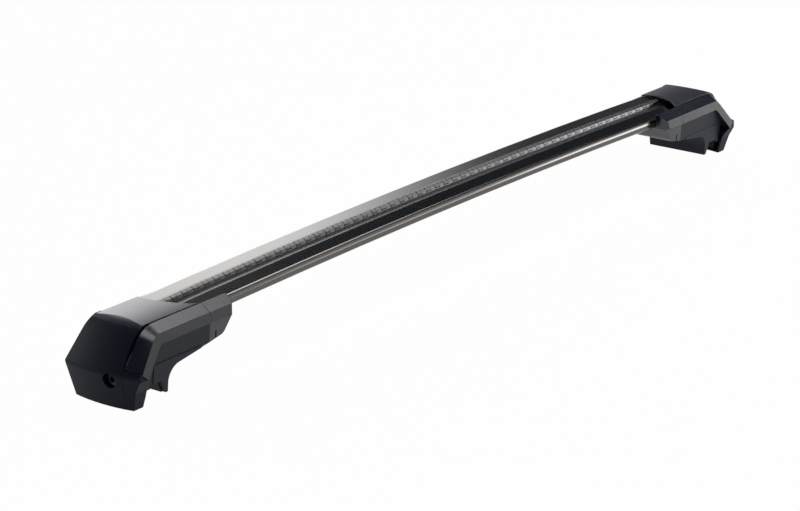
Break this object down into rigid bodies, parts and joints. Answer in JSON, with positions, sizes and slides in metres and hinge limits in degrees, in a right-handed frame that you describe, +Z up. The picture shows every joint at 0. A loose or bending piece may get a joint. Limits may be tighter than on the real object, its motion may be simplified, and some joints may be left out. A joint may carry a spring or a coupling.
{
  "type": "roof rack crossbar",
  "caption": "Arched aluminium roof rack crossbar with a toothed rubber strip on top and black moulded clamp feet that slide along the bar and grip a roof rail with screw-driven jaws.",
  "frame": {"origin": "middle of the part, on the level under both jaw covers", "axes": "+X along the bar to the right foot, +Y to the bar's rear edge, +Z up"},
  "size_m": [1.1302, 0.1017, 0.0864],
  "materials": {
    "bar_coat": "satin",
    "strip_rubber": "satin",
    "foot_plastic": "fine grain",
    "pad_rubber": "matte",
    "zinc_steel": "zinc plated"
  },
  "bodies": {
    "bar": {"crossbar": "bar_coat", "toothed_strip": "strip_rubber", "left_end_plug": "foot_plastic", "right_end_plug": "foot_plastic"},
    "left_foot": {"left_foot_body": "foot_plastic", "left_inboard_collar": "foot_plastic", "left_top_cover": "foot_plastic", "left_front_side_trim": "foot_plastic", "left_rear_side_trim": "foot_plastic", "left_rail_pad": "pad_rubber", "left_lug_pad": "pad_rubber", "left_clamp_nut": "zinc_steel", "left_bar_nut_plate": "zinc_steel", "left_bar_screws": "zinc_steel"},
    "left_jaw": {"left_jaw_cover": "foot_plastic", "left_jaw_plate": "zinc_steel", "left_jaw_pad": "pad_rubber", "left_screw_washer": "zinc_steel"},
    "left_screw": {"left_clamp_screw": "zinc_steel"},
    "right_foot": {"right_foot_body": "foot_plastic", "right_inboard_collar": "foot_plastic", "right_top_cover": "foot_plastic", "right_front_side_trim": "foot_plastic", "right_rear_side_trim": "foot_plastic", "right_rail_pad": "pad_rubber", "right_lug_pad": "pad_rubber", "right_clamp_nut": "zinc_steel", "right_bar_nut_plate": "zinc_steel", "right_bar_screws": "zinc_steel"},
    "right_jaw": {"right_jaw_cover": "foot_plastic", "right_jaw_plate": "zinc_steel", "right_jaw_pad": "pad_rubber", "right_screw_washer": "zinc_steel"},
    "right_screw": {"right_clamp_screw": "zinc_steel"}
  },
  "joints": [
    {"name": "left_foot_slide", "type": "slide", "parent": "bar", "child": "left_foot", "axis": [-0.9996, 0, -0.0279], "range_m": [-0.012, 0.01]},
    {"name": "left_jaw_slide", "type": "slide", "parent": "left_foot", "child": "left_jaw", "axis": [-1, 0, 0], "range_m": [0, 0.012]},
    {"name": "left_screw_turn", "type": "hinge", "parent": "left_jaw", "child": "left_screw", "pos_m": [-0.55, -0.016, 0.03], "axis": [-1, 0, 0], "range_deg": [0, 3456]},
    {"name": "right_foot_slide", "type": "slide", "parent": "bar", "child": "right_foot", "axis": [0.9996, 0, -0.0279], "range_m": [-0.012, 0.01]},
    {"name": "right_jaw_slide", "type": "slide", "parent": "right_foot", "child": "right_jaw", "axis": [1, 0, 0], "range_m": [0, 0.012]},
    {"name": "right_screw_turn", "type": "hinge", "parent": "right_jaw", "child": "right_screw", "pos_m": [0.55, -0.016, 0.03], "axis": [1, 0, 0], "range_deg": [0, 3456]}
  ],
  "couplings": [
    {"joint": "left_screw_turn", "follows": "left_jaw_slide", "rad_per_m": 5026.5},
    {"joint": "right_screw_turn", "follows": "right_jaw_slide", "rad_per_m": 5026.5}
  ]
}
